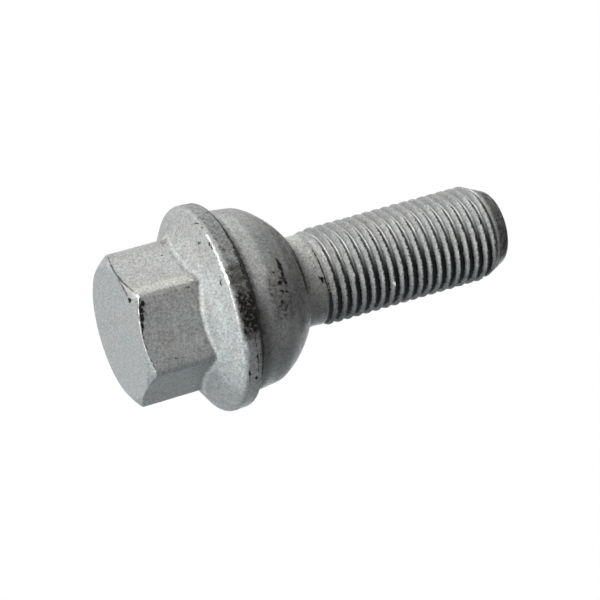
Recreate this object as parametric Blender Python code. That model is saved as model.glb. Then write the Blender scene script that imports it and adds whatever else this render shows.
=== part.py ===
"""Wheel bolt: hexagon head, flange, ball seat and rolled metric thread, forged in one piece.

The bolt stands on its head. Its axis is +Z, the origin is the middle of the head's end
face, +X points out of one flat of the hexagon, and the tip is on top. Sizes are in
millimetres, and the mesh is scaled to metres when it is made.

The skin is a loft. At every angle round the axis there is one section, a line of
(radius, height) points that runs from the head's end face to the tip. The hexagon makes
the sections of the head differ, and the helix makes those of the thread differ.
"""

from math import acos, atan2, ceil, cos, pi, radians, sin, sqrt, tan

import bmesh
import bpy

METRES = 0.001

# Hexagon, for a 19 mm wrench
ACROSS_FLATS = 18.85
HEX_CORNER_ROUNDING = 1.2
END_FACE_INSET = 0.075
END_CHAMFER_ANGLE = radians(30)
HEX_BASE_FILLET = 0.7

# Ball seat and its collar
BALL_RADIUS = 14.0
BALL_CENTRE_SETBACK = 1.35
BALL_EDGE_ROUNDING = 3.0
BALL_END_RADIUS = 7.8
COLLAR_INSET = 0.92
COLLAR_DRAFT = radians(7.2)
COLLAR_FILLET = 0.7

# Flange
FLANGE_HEIGHT = 12.17
FLANGE_OVERHANG = 1.54
FLANGE_CONE_ANGLE = radians(34)
RIM_WIDTH = 2.68
RIM_TAPER = radians(2.5)
RIM_FRONT_ROUNDING = 0.45
RIM_BACK_ROUNDING = 0.7

# Neck
NECK_LENGTH = 2.77
NECK_FILLET = 0.5

# Thread, M14 x 1.5, right-hand, rolled on a blank of its pitch diameter
THREAD_DIAMETER = 14.0
THREAD_PITCH = 1.5
THREAD_LENGTH = 28.1
THREAD_START_ANGLE = radians(144)
CREST_ALLOWANCE = 0.05
RUN_OUT_LENGTH = 2.5
RUN_IN_LENGTH = 1.4

# Point
POINT_LENGTH = 2.3
POINT_ANGLE = radians(24.3)
POINT_INSET = 0.84
POINT_ROUNDING = 1.4

# The ISO metric thread's form, as shares of its pitch
PITCH_DIAMETER_DROP = 0.6495
ROOT_DIAMETER_DROP = 1.2269
CREST_MIDDLE = 0.5
CREST_WIDTH = 0.125
ROOT_WIDTH = 0.167

# Fineness of the loft
COLUMNS_PER_FLAT = 6
CHORD_TOLERANCE = 0.03
LEAST_RISE = 0.06
SPARE_TURNS = 2

# Dull zinc-flake coating
COATING_COLOUR = (0.40, 0.41, 0.41, 1.0)
COATING_ROUGHNESS = 0.55
COATING_METALLIC = 0.6

# What follows from the sizes above
SIDES = 6
FULL_TURN = 2 * pi
HALF_TURN = pi
QUARTER_TURN = pi / 2
HALF_SIDE = HALF_TURN / SIDES
HALF_FLATS = ACROSS_FLATS / 2
END_FACE_RADIUS = HALF_FLATS - END_FACE_INSET
CORNER_CENTRE = (HALF_FLATS - HEX_CORNER_ROUNDING) / cos(HALF_SIDE)
CORNER_START = atan2(CORNER_CENTRE * sin(HALF_SIDE), HALF_FLATS)
COLLAR_RADIUS = BALL_RADIUS - COLLAR_INSET
FLANGE_RADIUS = COLLAR_RADIUS + FLANGE_OVERHANG
FLANGE_BACK = FLANGE_HEIGHT + RIM_WIDTH
RIM_BACK_RADIUS = FLANGE_RADIUS - RIM_WIDTH * tan(RIM_TAPER)
BALL_CENTRE = FLANGE_BACK - BALL_CENTRE_SETBACK
CREST_RADIUS = THREAD_DIAMETER / 2 - CREST_ALLOWANCE
ROOT_RADIUS = (THREAD_DIAMETER - ROOT_DIAMETER_DROP * THREAD_PITCH) / 2
BLANK_RADIUS = (THREAD_DIAMETER - PITCH_DIAMETER_DROP * THREAD_PITCH) / 2
NECK_START = BALL_CENTRE + sqrt(BALL_RADIUS ** 2 - BALL_END_RADIUS ** 2)
THREAD_START = NECK_START + NECK_LENGTH
THREAD_END = THREAD_START + THREAD_LENGTH
TIP = THREAD_END + POINT_LENGTH
POINT_END_RADIUS = ROOT_RADIUS - POINT_INSET


def arc(centre, radius, start, end):
    """Points of an arc. Its angles run from the outward direction toward the tip's."""
    step_angle = 2 * acos(1 - CHORD_TOLERANCE / radius)
    steps = ceil(abs(end - start) / step_angle)
    angles = [start + (end - start) * step / steps for step in range(steps + 1)]
    return [(centre[0] + radius * cos(a), centre[1] + radius * sin(a)) for a in angles]


def rounded_corner(before, corner, after, radius):
    """The arc that rounds the corner between two straight lines."""
    arriving = atan2(corner[1] - before[1], corner[0] - before[0])
    leaving = atan2(after[1] - corner[1], after[0] - corner[0])
    turn = leaving - arriving
    side = 1 if turn > 0 else -1
    setback = radius * tan(abs(turn) / 2)
    first = (corner[0] - setback * cos(arriving), corner[1] - setback * sin(arriving))
    centre = (first[0] - side * radius * sin(arriving), first[1] + side * radius * cos(arriving))
    start = arriving - side * QUARTER_TURN
    return arc(centre, radius, start, start + turn)


def hexagon_radius(angle):
    """Distance from the axis to the side of the hexagon, whose corners are rounded."""
    off_flat = abs((angle + HALF_SIDE) % (2 * HALF_SIDE) - HALF_SIDE)
    if off_flat <= CORNER_START:
        return HALF_FLATS / cos(off_flat)
    off_corner = HALF_SIDE - off_flat
    across = CORNER_CENTRE * sin(off_corner)
    return CORNER_CENTRE * cos(off_corner) + sqrt(HEX_CORNER_ROUNDING ** 2 - across ** 2)


def cone_height(radius):
    """Height of the flange's front cone at a radius."""
    return FLANGE_HEIGHT - (FLANGE_RADIUS - radius) * tan(FLANGE_CONE_ANGLE)


def hexagon_section(angle):
    """End face, chamfer, side of the hexagon and the fillet at its foot."""
    side = hexagon_radius(angle)
    chamfered = (side, (side - END_FACE_RADIUS) * tan(END_CHAMFER_ANGLE))
    foot = (side, cone_height(side))
    rim = (FLANGE_RADIUS, FLANGE_HEIGHT)
    fillet = rounded_corner(chamfered, foot, rim, HEX_BASE_FILLET)
    return [(END_FACE_RADIUS, 0.0), chamfered] + fillet


def rim_section():
    """Rounded front and back edges of the flange's rim, and the fillet behind it."""
    hexagon_foot = (HALF_FLATS, cone_height(HALF_FLATS))
    front = (FLANGE_RADIUS, FLANGE_HEIGHT)
    back = (RIM_BACK_RADIUS, FLANGE_BACK)
    root = (COLLAR_RADIUS, FLANGE_BACK)
    along_collar = (COLLAR_RADIUS - sin(COLLAR_DRAFT), FLANGE_BACK + cos(COLLAR_DRAFT))
    points = rounded_corner(hexagon_foot, front, back, RIM_FRONT_ROUNDING)
    points += rounded_corner(front, back, root, RIM_BACK_ROUNDING)
    points += rounded_corner(back, root, along_collar, COLLAR_FILLET)
    return points


def ball_section():
    """Rounding from the collar to the ball, the ball, its flat end and the neck's fillet."""
    collar_distance = COLLAR_RADIUS * cos(COLLAR_DRAFT) + BALL_CENTRE_SETBACK * sin(COLLAR_DRAFT)
    reach = BALL_RADIUS - BALL_EDGE_ROUNDING
    ball_start = COLLAR_DRAFT + acos((collar_distance - BALL_EDGE_ROUNDING) / reach)
    edge_centre = (reach * cos(ball_start), BALL_CENTRE + reach * sin(ball_start))
    ball_end = acos(BALL_END_RADIUS / BALL_RADIUS)
    end_edge = (BALL_END_RADIUS, NECK_START)
    neck_foot = (BLANK_RADIUS, NECK_START)
    neck_end = (BLANK_RADIUS, THREAD_START)
    points = arc(edge_centre, BALL_EDGE_ROUNDING, COLLAR_DRAFT, ball_start)
    points += arc((0.0, BALL_CENTRE), BALL_RADIUS, ball_start, ball_end)[1:]
    points += rounded_corner(end_edge, neck_foot, neck_end, NECK_FILLET)
    points.append(neck_end)
    return points


def point_radius(height):
    """Radius of the point's cone at a height."""
    return POINT_END_RADIUS + (TIP - height) * tan(POINT_ANGLE)


def point_section():
    """Rounding from the point's cone to its flat end."""
    base = (point_radius(THREAD_END), THREAD_END)
    return rounded_corner(base, (POINT_END_RADIUS, TIP), (0.0, TIP), POINT_ROUNDING)


def ramp(share):
    """Smooth rise from 0 to 1."""
    share = min(max(share, 0.0), 1.0)
    return share * share * (3 - 2 * share)


def thread_radius(height, full_radius):
    """Radius of a crest or a root, which fades into the blank at both ends."""
    growth = ramp((height - THREAD_START) / RUN_OUT_LENGTH)
    growth *= ramp((THREAD_END - height) / RUN_IN_LENGTH)
    return min(BLANK_RADIUS + growth * (full_radius - BLANK_RADIUS), point_radius(height))


def thread_turn():
    """Edges of one root and one crest: pitches above the root's middle, and the radius."""
    half_root = ROOT_WIDTH / 2
    half_crest = CREST_WIDTH / 2
    root = [(-half_root, ROOT_RADIUS), (half_root, ROOT_RADIUS)]
    crest = [(CREST_MIDDLE - half_crest, CREST_RADIUS), (CREST_MIDDLE + half_crest, CREST_RADIUS)]
    return root + crest


def thread_section(angle):
    """The thread cut at an angle. Points past an end of the thread lie on that end."""
    rise = (angle - THREAD_START_ANGLE) / FULL_TURN
    turns = ceil(THREAD_LENGTH / THREAD_PITCH)
    points = []
    for turn in range(-SPARE_TURNS, turns + SPARE_TURNS):
        for share, full_radius in thread_turn():
            along = (turn + rise + share) * THREAD_PITCH
            if along < LEAST_RISE:
                along = 0.0
            if along > THREAD_LENGTH - LEAST_RISE:
                along = THREAD_LENGTH
            height = THREAD_START + along
            points.append((thread_radius(height, full_radius), height))
    return points


def column_angles():
    """Angles of the sections: evenly over each flat, and one on the middle of each corner."""
    angles = []
    for side in range(SIDES):
        flat_middle = side * 2 * HALF_SIDE
        for column in range(COLUMNS_PER_FLAT):
            share = 2 * column / (COLUMNS_PER_FLAT - 1) - 1
            angles.append(flat_middle + share * CORNER_START)
        angles.append(flat_middle + HALF_SIDE)
    return angles


def make_columns(bm, angles, section):
    """One column of vertices for each angle. Points that coincide share a vertex."""
    columns = []
    for angle in angles:
        column = []
        last_point = None
        for radius, height in section(angle):
            if (radius, height) != last_point:
                place = (radius * cos(angle), radius * sin(angle), height)
                vertex = bm.verts.new([METRES * value for value in place])
                last_point = (radius, height)
            column.append(vertex)
        columns.append(column)
    return columns


def join_columns(bm, columns, turn_shift):
    """Faces between neighbouring columns. The last meets the first turn_shift rows up."""
    last_row = len(columns[0]) - 1
    for number, column in enumerate(columns):
        closing = number == len(columns) - 1
        following = columns[0] if closing else columns[number + 1]
        shift = turn_shift if closing else 0
        for row in range(-shift, last_row):
            low, high = max(row, 0), max(row + 1, 0)
            next_low, next_high = min(row + shift, last_row), min(row + 1 + shift, last_row)
            corners = [column[low], following[next_low], following[next_high], column[high]]
            distinct = list(dict.fromkeys(corners))
            if len(distinct) > 2:
                bm.faces.new(distinct)


def weld_rings(bm, lower, upper):
    """Joins the top ring of one loft to the bottom ring of the next."""
    targets = {top[-1]: bottom[0] for top, bottom in zip(lower, upper)}
    bmesh.ops.weld_verts(bm, targetmap=targets)


def make_skin():
    """The closed skin: head, thread and point, with a flat face at each end."""
    bm = bmesh.new()
    angles = column_angles()
    turned = rim_section() + ball_section()
    thread_end = (min(BLANK_RADIUS, point_radius(THREAD_END)), THREAD_END)
    tip = [thread_end] + point_section()
    head = make_columns(bm, angles, lambda angle: hexagon_section(angle) + turned)
    thread = make_columns(bm, angles, thread_section)
    point = make_columns(bm, angles, lambda angle: tip)
    join_columns(bm, head, 0)
    join_columns(bm, thread, len(thread_turn()))
    join_columns(bm, point, 0)
    bm.faces.new([column[0] for column in reversed(head)])
    bm.faces.new([column[-1] for column in point])
    weld_rings(bm, head, thread)
    weld_rings(bm, thread, point)
    mesh = bpy.data.meshes.new("wheel_bolt")
    bm.to_mesh(mesh)
    bm.free()
    return mesh


def coating():
    """Dull grey zinc-flake coating."""
    material = bpy.data.materials.new("zinc_flake")
    material.use_nodes = True
    shader = material.node_tree.nodes["Principled BSDF"]
    shader.inputs["Base Color"].default_value = COATING_COLOUR
    shader.inputs["Roughness"].default_value = COATING_ROUGHNESS
    shader.inputs["Metallic"].default_value = COATING_METALLIC
    return material


def make_bolt():
    """The bolt as one object."""
    mesh = make_skin()
    mesh.materials.append(coating())
    bolt = bpy.data.objects.new("wheel_bolt", mesh)
    bpy.context.scene.collection.objects.link(bolt)
    mesh.shade_smooth()
    mesh.set_sharp_from_angle(angle=radians(25))
    return bolt


def clear_scene():
    """Removes what the startup scene holds."""
    for thing in list(bpy.data.objects):
        bpy.data.objects.remove(thing)


clear_scene()
make_bolt()
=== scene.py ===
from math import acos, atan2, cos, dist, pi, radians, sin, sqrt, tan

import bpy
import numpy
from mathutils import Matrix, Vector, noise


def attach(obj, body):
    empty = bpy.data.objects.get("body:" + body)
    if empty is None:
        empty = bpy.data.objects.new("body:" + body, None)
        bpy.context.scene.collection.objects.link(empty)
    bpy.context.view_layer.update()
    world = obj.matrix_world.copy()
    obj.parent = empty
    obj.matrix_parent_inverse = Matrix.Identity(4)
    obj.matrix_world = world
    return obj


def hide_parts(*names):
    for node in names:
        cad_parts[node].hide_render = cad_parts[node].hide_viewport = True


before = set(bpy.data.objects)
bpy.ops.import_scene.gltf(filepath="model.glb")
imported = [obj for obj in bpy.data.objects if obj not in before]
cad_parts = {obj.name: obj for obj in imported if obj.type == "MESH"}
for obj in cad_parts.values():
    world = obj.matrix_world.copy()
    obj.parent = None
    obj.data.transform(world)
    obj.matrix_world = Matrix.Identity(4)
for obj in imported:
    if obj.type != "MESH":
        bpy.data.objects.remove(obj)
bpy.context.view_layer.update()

# Looks of the wheel bolt: a fine mesh over its faceted solid, its worn zinc-flake coating with
# painted light and shade, the floor, the lamps and the camera. Heights and radii are in
# millimetres, in the solid's frame: the head's end face lies at height 0, +Z is the bolt's axis,
# and +X points out of one flat of the hexagon.

METRES = 0.001
NODE = "wheel_bolt"
FULL_TURN = 2 * pi
HALF_TURN = pi
QUARTER_TURN = pi / 2

# Hexagon, as in the solid
SIDES = 6
HALF_SIDE = HALF_TURN / SIDES
ACROSS_FLATS = 18.85
HALF_FLATS = ACROSS_FLATS / 2
HEX_CORNER_ROUNDING = 1.2
END_FACE_INSET = 0.075
END_FACE_RADIUS = HALF_FLATS - END_FACE_INSET
END_CHAMFER_ANGLE = radians(30)
CORNER_CENTRE = (HALF_FLATS - HEX_CORNER_ROUNDING) / cos(HALF_SIDE)
CORNER_START = atan2(CORNER_CENTRE * sin(HALF_SIDE), HALF_FLATS)

# Flange, collar and ball, as in the solid. The rim's front edge is rounder here.
BALL_RADIUS = 14.0
BALL_EDGE_ROUNDING = 3.0
BALL_END_RADIUS = 7.8
COLLAR_INSET = 0.92
COLLAR_RADIUS = BALL_RADIUS - COLLAR_INSET
COLLAR_DRAFT = radians(7.2)
COLLAR_FILLET = 0.7
FLANGE_OVERHANG = 1.54
FLANGE_RADIUS = COLLAR_RADIUS + FLANGE_OVERHANG
FLANGE_HEIGHT = 12.17
FLANGE_CONE_ANGLE = radians(34)
RIM_WIDTH = 2.68
RIM_TAPER = radians(2.5)
FLANGE_BACK = FLANGE_HEIGHT + RIM_WIDTH
RIM_BACK_RADIUS = FLANGE_RADIUS - RIM_WIDTH * tan(RIM_TAPER)
RIM_FRONT_ROUNDING = 1.0
RIM_BACK_ROUNDING = 0.7
BALL_CENTRE_SETBACK = 1.35
BALL_CENTRE = FLANGE_BACK - BALL_CENTRE_SETBACK

# Neck, thread and point, as in the solid. The two drops are those of a metric thread, in
# pitches.
THREAD_DIAMETER = 14.0
THREAD_PITCH = 1.5
THREAD_LENGTH = 28.1
THREAD_START_ANGLE = radians(144)
CREST_ALLOWANCE = 0.05
PITCH_DIAMETER_DROP = 0.6495
ROOT_DIAMETER_DROP = 1.2269
CREST_RADIUS = THREAD_DIAMETER / 2 - CREST_ALLOWANCE
BLANK_RADIUS = (THREAD_DIAMETER - PITCH_DIAMETER_DROP * THREAD_PITCH) / 2
ROOT_RADIUS = (THREAD_DIAMETER - ROOT_DIAMETER_DROP * THREAD_PITCH) / 2
FLANK_ANGLE = radians(30)
NECK_FILLET = 0.5
NECK_LENGTH = 2.77
RUN_OUT_LENGTH = 2.5
RUN_IN_LENGTH = 1.4
NECK_START = BALL_CENTRE + sqrt(BALL_RADIUS ** 2 - BALL_END_RADIUS ** 2)
THREAD_START = NECK_START + NECK_LENGTH
THREAD_END = THREAD_START + THREAD_LENGTH
POINT_LENGTH = 2.3
POINT_ANGLE = radians(24.3)
POINT_INSET = 0.84
POINT_END_RADIUS = ROOT_RADIUS - POINT_INSET
POINT_ROUNDING = 1.4
TIP = THREAD_END + POINT_LENGTH

# Small forms that the solid leaves out: roundings of the edges, a tighter fillet at the
# hexagon's foot and a shallow ring on the end face
EDGE_ROUNDING = 0.28
CHAMFER_ROUNDING_SHARE = 0.7
FOOT_ROUNDING = 0.45
BALL_END_ROUNDING = 0.5
FACE_RING_RADIUS = 5.5
FACE_RING_REACH = 0.45

# Fineness of the loft
COLUMNS_ON_FLATS = (44, 26, 14, 12, 14, 36)
COLUMNS_PER_CORNER = 6
FACE_RINGS = 4
FINE_FACE_RINGS = 9
CHAMFER_STEPS = 5
HEX_STEPS = 40
HEX_STEP_GROWTH = 1.5
CONE_STEPS = 18
RIM_STEPS = 10
COLLAR_STEPS = 16
BALL_STEPS = 40
NECK_STEPS = 20
POINT_STEPS = 8
POINT_ARC = 10
FINE_ARC = 6
THREAD_SWINGS = [radians(swing) for swing in (-60, -30, 0, 30, 60)]
TURNS_BEFORE = 2
TURNS_AFTER = 3
LEAST_RISE = 0.03
SAME_PLACE = 1e-6

# How bare of coating the thread is across one turn, from the root up over the crest and down,
# and how dark what is bare is on the crest and the flank toward the tip, a painted shade
ROOT_BARENESS = (1.0, 1.0, 0.95, 0.85, 0.7)
HEAD_FLANK_BARENESS = 0.1
CREST_BARENESS = (0.24, 0.42, 0.56, 0.7, 0.9)
TIP_FLANK_BARENESS = 1.0
CREST_GLOOM = 1.0
EARLY_GROWTH = 2.0


def arc(centre, radius, start, end, steps):
    """Points of an arc. Its angles run from the outward direction toward the tip's."""
    angles = [start + (end - start) * step / steps for step in range(steps + 1)]
    return [(centre[0] + radius * cos(a), centre[1] + radius * sin(a)) for a in angles]


def line(start, end, steps, growth=1.0):
    """Points between two others, without those. A growth over 1 sets them ever wider apart."""
    shares = [(step / steps) ** growth for step in range(1, steps)]
    return [tuple(a + (b - a) * share for a, b in zip(start, end)) for share in shares]


def rounded_corner(before, corner, after, radius, steps):
    """The arc that rounds the corner between two straight lines."""
    arriving = atan2(corner[1] - before[1], corner[0] - before[0])
    leaving = atan2(after[1] - corner[1], after[0] - corner[0])
    turn = leaving - arriving
    side = 1 if turn > 0 else -1
    setback = radius * tan(abs(turn) / 2)
    first = (corner[0] - setback * cos(arriving), corner[1] - setback * sin(arriving))
    centre = (first[0] - side * radius * sin(arriving), first[1] + side * radius * cos(arriving))
    start = arriving - side * QUARTER_TURN
    return arc(centre, radius, start, start + turn, steps)


def hexagon_radius(angle):
    """Distance from the axis to the side of the hexagon, whose corners are rounded."""
    off_flat = abs((angle + HALF_SIDE) % (2 * HALF_SIDE) - HALF_SIDE)
    if off_flat <= CORNER_START:
        return HALF_FLATS / cos(off_flat)
    off_corner = HALF_SIDE - off_flat
    across = CORNER_CENTRE * sin(off_corner)
    return CORNER_CENTRE * cos(off_corner) + sqrt(HEX_CORNER_ROUNDING ** 2 - across ** 2)


def cone_height(radius):
    """Height of the flange's front cone at a radius."""
    return FLANGE_HEIGHT - (FLANGE_RADIUS - radius) * tan(FLANGE_CONE_ANGLE)


def hexagon_section(angle):
    """End face, chamfer, side of the hexagon and the fillet at its foot."""
    side = hexagon_radius(angle)
    inner = (END_FACE_RADIUS, 0.0)
    outer = (side, (side - END_FACE_RADIUS) * tan(END_CHAMFER_ANGLE))
    foot = (side, cone_height(side))
    rim = (FLANGE_RADIUS, FLANGE_HEIGHT)
    chamfer = dist(inner, outer)
    rounding = min(EDGE_ROUNDING, CHAMFER_ROUNDING_SHARE * chamfer)
    first_edge = rounded_corner((0.0, 0.0), inner, outer, rounding, FINE_ARC)
    second_edge = rounded_corner(inner, outer, foot, rounding, FINE_ARC)
    fillet = rounded_corner(outer, foot, rim, FOOT_ROUNDING, FINE_ARC)
    ring_inside = (FACE_RING_RADIUS - FACE_RING_REACH, 0.0)
    ring_outside = (FACE_RING_RADIUS + FACE_RING_REACH, 0.0)
    face = line((0.0, 0.0), ring_inside, FACE_RINGS)
    face += line(ring_inside, ring_outside, FINE_FACE_RINGS)
    face += line(ring_outside, first_edge[0], FACE_RINGS)
    chamfer_face = line(first_edge[-1], second_edge[0], CHAMFER_STEPS)
    hexagon_face = line(second_edge[-1], fillet[0], HEX_STEPS, HEX_STEP_GROWTH)
    return face + first_edge + chamfer_face + second_edge + hexagon_face + fillet


def rim_section():
    """The cone's outer part, the rim with its rounded edges, and the fillet behind it."""
    hexagon_foot = (HALF_FLATS, cone_height(HALF_FLATS))
    front = (FLANGE_RADIUS, FLANGE_HEIGHT)
    back = (RIM_BACK_RADIUS, FLANGE_BACK)
    root = (COLLAR_RADIUS, FLANGE_BACK)
    along_collar = (COLLAR_RADIUS - sin(COLLAR_DRAFT), FLANGE_BACK + cos(COLLAR_DRAFT))
    front_edge = rounded_corner(hexagon_foot, front, back, RIM_FRONT_ROUNDING, FINE_ARC)
    back_edge = rounded_corner(front, back, root, RIM_BACK_ROUNDING, FINE_ARC)
    fillet = rounded_corner(back, root, along_collar, COLLAR_FILLET, FINE_ARC)
    return front_edge + line(front_edge[-1], back_edge[0], RIM_STEPS) + back_edge + fillet


def ball_section():
    """Collar, its rounding into the ball, the ball, its flat end and the neck's fillet."""
    setback = FLANGE_BACK - BALL_CENTRE
    collar_distance = COLLAR_RADIUS * cos(COLLAR_DRAFT) + setback * sin(COLLAR_DRAFT)
    reach = BALL_RADIUS - BALL_EDGE_ROUNDING
    ball_start = COLLAR_DRAFT + acos((collar_distance - BALL_EDGE_ROUNDING) / reach)
    edge_centre = (reach * cos(ball_start), BALL_CENTRE + reach * sin(ball_start))
    ball_end = acos(BALL_END_RADIUS / BALL_RADIUS)
    along_ball = (BALL_END_RADIUS + sin(ball_end), NECK_START - cos(ball_end))
    end_edge = (BALL_END_RADIUS, NECK_START)
    neck_foot = (BLANK_RADIUS, NECK_START)
    neck_end = (BLANK_RADIUS, THREAD_START)
    edge = arc(edge_centre, BALL_EDGE_ROUNDING, COLLAR_DRAFT, ball_start, FINE_ARC)
    ball = arc((0.0, BALL_CENTRE), BALL_RADIUS, ball_start, ball_end, BALL_STEPS)
    last_edge = rounded_corner(along_ball, end_edge, neck_foot, BALL_END_ROUNDING, FINE_ARC)
    fillet = rounded_corner(end_edge, neck_foot, neck_end, NECK_FILLET, FINE_ARC)
    return edge + ball[1:-1] + last_edge + fillet


def point_radius(height):
    """Radius of the point's cone at a height."""
    return POINT_END_RADIUS + (TIP - height) * tan(POINT_ANGLE)


def point_section():
    """The point's cone, the rounding to its flat end, and the end."""
    base = (min(BLANK_RADIUS, point_radius(THREAD_END)), THREAD_END)
    edge = rounded_corner(base, (POINT_END_RADIUS, TIP), (0.0, TIP), POINT_ROUNDING, POINT_ARC)
    return line(base, edge[0], POINT_STEPS) + edge + line(edge[-1], (0.0, TIP), POINT_STEPS)


def ramp(share):
    """Smooth rise from 0 to 1."""
    share = min(max(share, 0.0), 1.0)
    return share * share * (3 - 2 * share)


def thread_growth(height):
    """How far the thread has grown out of the blank, from 0 to 1."""
    start = ramp((height - THREAD_START) / RUN_OUT_LENGTH)
    return start * ramp((THREAD_END - height) / RUN_IN_LENGTH)


def thread_radius(height, full_radius):
    """Radius of a crest or a root, which fades into the blank at both ends."""
    growth = thread_growth(height)
    return min(BLANK_RADIUS + growth * (full_radius - BLANK_RADIUS), point_radius(height))


def thread_turn():
    """One turn's form: (millimetres above the root's middle, radius, bareness, gloom)."""
    sharp_root = BLANK_RADIUS - THREAD_PITCH / 4 / tan(FLANK_ANGLE)
    sharp_crest = BLANK_RADIUS + THREAD_PITCH / 4 / tan(FLANK_ANGLE)
    root_rounding = ROOT_RADIUS - sharp_root
    crest_rounding = sharp_crest - CREST_RADIUS
    form = []
    for swing, bare in zip(THREAD_SWINGS, ROOT_BARENESS):
        lift = root_rounding * (1 - cos(swing))
        form.append((root_rounding * sin(swing), ROOT_RADIUS + lift, bare, 0.0))
    form.append((THREAD_PITCH / 4, BLANK_RADIUS, HEAD_FLANK_BARENESS, 0.0))
    for swing, bare in zip(THREAD_SWINGS, CREST_BARENESS):
        along = THREAD_PITCH / 2 + crest_rounding * sin(swing)
        drop = crest_rounding * (1 - cos(swing))
        form.append((along, CREST_RADIUS - drop, bare, CREST_GLOOM))
    form.append((THREAD_PITCH * 3 / 4, BLANK_RADIUS, TIP_FLANK_BARENESS, CREST_GLOOM))
    return form


def thread_section(angle):
    """The thread cut at an angle. Points past an end of the thread lie on that end."""
    lead = (angle - THREAD_START_ANGLE) / FULL_TURN * THREAD_PITCH
    turns = int(THREAD_LENGTH / THREAD_PITCH) + TURNS_AFTER
    form = thread_turn()
    points = []
    for turn in range(-TURNS_BEFORE, turns):
        for offset, full_radius, bare, gloom in form:
            along = turn * THREAD_PITCH + lead + offset
            if along < LEAST_RISE:
                along = 0.0
            if along > THREAD_LENGTH - LEAST_RISE:
                along = THREAD_LENGTH
            height = THREAD_START + along
            share = min(1.0, EARLY_GROWTH * thread_growth(height))
            points.append((thread_radius(height, full_radius), height, bare * share, gloom))
    return points


def column_angles():
    """Angles of the sections, closer together on the corners and on the flats that show most."""
    angles = []
    for side, columns in enumerate(COLUMNS_ON_FLATS):
        flat_middle = side * 2 * HALF_SIDE
        for column in range(columns):
            share = 2 * column / columns - 1
            angles.append(flat_middle + share * CORNER_START)
        corner_width = 2 * (HALF_SIDE - CORNER_START)
        for column in range(COLUMNS_PER_CORNER):
            angles.append(flat_middle + CORNER_START + corner_width * column / COLUMNS_PER_CORNER)
    return angles


class Loft:
    """Vertices and faces of the skin, built column by column."""

    def __init__(self):
        self.places = []
        self.bareness = []
        self.crest_gloom = []
        self.columns = []

    def add_column(self, angle, points):
        """One column. Points that coincide with the one before share its vertex."""
        column = []
        last_point = None
        for radius, height, bare, gloom in points:
            point = (radius, height)
            if last_point is None or dist(point, last_point) > SAME_PLACE:
                self.places.append((radius * cos(angle), radius * sin(angle), height))
                self.bareness.append(bare)
                self.crest_gloom.append(gloom)
                last_point = point
            column.append(len(self.places) - 1)
        self.columns.append(column)

    def band_faces(self, first_row, last_row, turn_shift):
        """Faces between rows. Where the last column meets the first, rows shift by a turn."""
        faces = []
        for number, column in enumerate(self.columns):
            closing = number == len(self.columns) - 1
            following = self.columns[0] if closing else self.columns[number + 1]
            shift = turn_shift if closing else 0
            for row in range(first_row - shift, last_row):
                low, high = max(row, first_row), max(row + 1, first_row)
                next_low, next_high = min(row + shift, last_row), min(row + 1 + shift, last_row)
                corners = [column[low], following[next_low], following[next_high], column[high]]
                distinct = list(dict.fromkeys(corners))
                if len(distinct) > 2:
                    faces.append(distinct)
        return faces


def plain(points):
    """Points outside the thread, which are coated all over."""
    return [(radius, height, 0.0, 0.0) for radius, height in points]


def bolt_loft():
    """The closed skin of the whole bolt: its vertices and its faces, in millimetres."""
    loft = Loft()
    rim = rim_section()
    ball = ball_section()
    neck_end = (BLANK_RADIUS, THREAD_START)
    neck = line(ball[-1], neck_end, NECK_STEPS) + [neck_end]
    after_hexagon = rim + line(rim[-1], ball[0], COLLAR_STEPS) + ball + neck
    point = point_section()
    for angle in column_angles():
        hexagon = hexagon_section(angle)
        head = hexagon + line(hexagon[-1], after_hexagon[0], CONE_STEPS) + after_hexagon
        thread = thread_section(angle)
        loft.add_column(angle, plain(head) + thread + plain(point))
    thread_start = len(head) - 1
    thread_end = thread_start + len(thread)
    last_row = thread_end + len(point)
    faces = loft.band_faces(0, thread_start, 0)
    faces += loft.band_faces(thread_start, thread_end, len(thread_turn()))
    faces += loft.band_faces(thread_end, last_row, 0)
    faces.append([column[0] for column in reversed(loft.columns)])
    faces.append([column[last_row] for column in loft.columns])
    return loft, faces


# Marks of use, and painted light and shade, where the photograph shows them. Angles are in
# degrees around the axis, 0 in the middle of the flat that faces the photograph's camera, -90
# toward its top.

def polar(angle, radius, height):
    """A point at an angle in degrees, a radius and a height."""
    return numpy.array((radius * cos(radians(angle)), radius * sin(radians(angle)), height))


def on_end_face(angle, radius):
    return polar(angle, radius, 0.0)


def on_hexagon(angle, height):
    return polar(angle, hexagon_radius(radians(angle)), height)


def on_cone(angle, height):
    return polar(angle, FLANGE_RADIUS - (FLANGE_HEIGHT - height) / tan(FLANGE_CONE_ANGLE), height)


def on_rim(angle, height):
    return polar(angle, FLANGE_RADIUS, height)


def on_ball(angle, height):
    collar = COLLAR_RADIUS - (height - FLANGE_BACK) * tan(COLLAR_DRAFT)
    return polar(angle, min(collar, sqrt(BALL_RADIUS ** 2 - (height - BALL_CENTRE) ** 2)), height)


def on_thread(angle, height):
    return polar(angle, thread_radius(height, CREST_RADIUS), height)


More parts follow.
